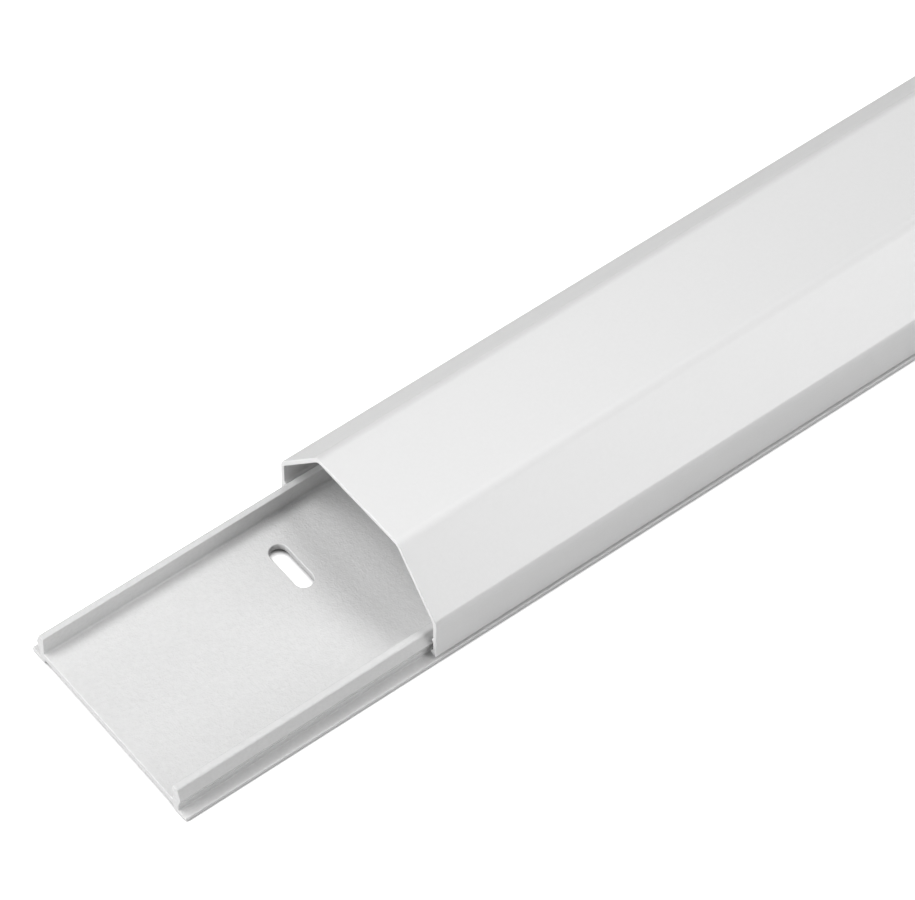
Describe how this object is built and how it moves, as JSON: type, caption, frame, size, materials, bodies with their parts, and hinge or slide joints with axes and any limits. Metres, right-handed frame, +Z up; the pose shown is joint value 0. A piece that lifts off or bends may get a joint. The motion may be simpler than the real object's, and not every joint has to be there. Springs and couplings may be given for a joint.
{
  "type": "cord cover raceway",
  "caption": "Two-piece aluminium cord cover raceway: a flat base with barbed side rails and crosswise screw slots, and a faceted cover that slides along the rails.",
  "frame": {"origin": "middle of the whole on the surface it lies on, with the cover slid back along the base", "axes": "+X along the raceway, towards the end the cover slides off; +Y across it; +Z up, out of the floor"},
  "size_m": [1.1594, 0.05, 0.0257],
  "materials": {
    "base_coat": "white powder coat, fine texture",
    "cover_coat": "white powder coat, fine texture"
  },
  "bodies": {
    "base": {"base": "base_coat"},
    "cover": {"cover": "cover_coat"}
  },
  "joints": [
    {"name": "cover_slide", "type": "slide", "parent": "base", "child": "cover", "axis": [1, 0, 0], "range_m": [-0.0594, 1.0606]}
  ]
}
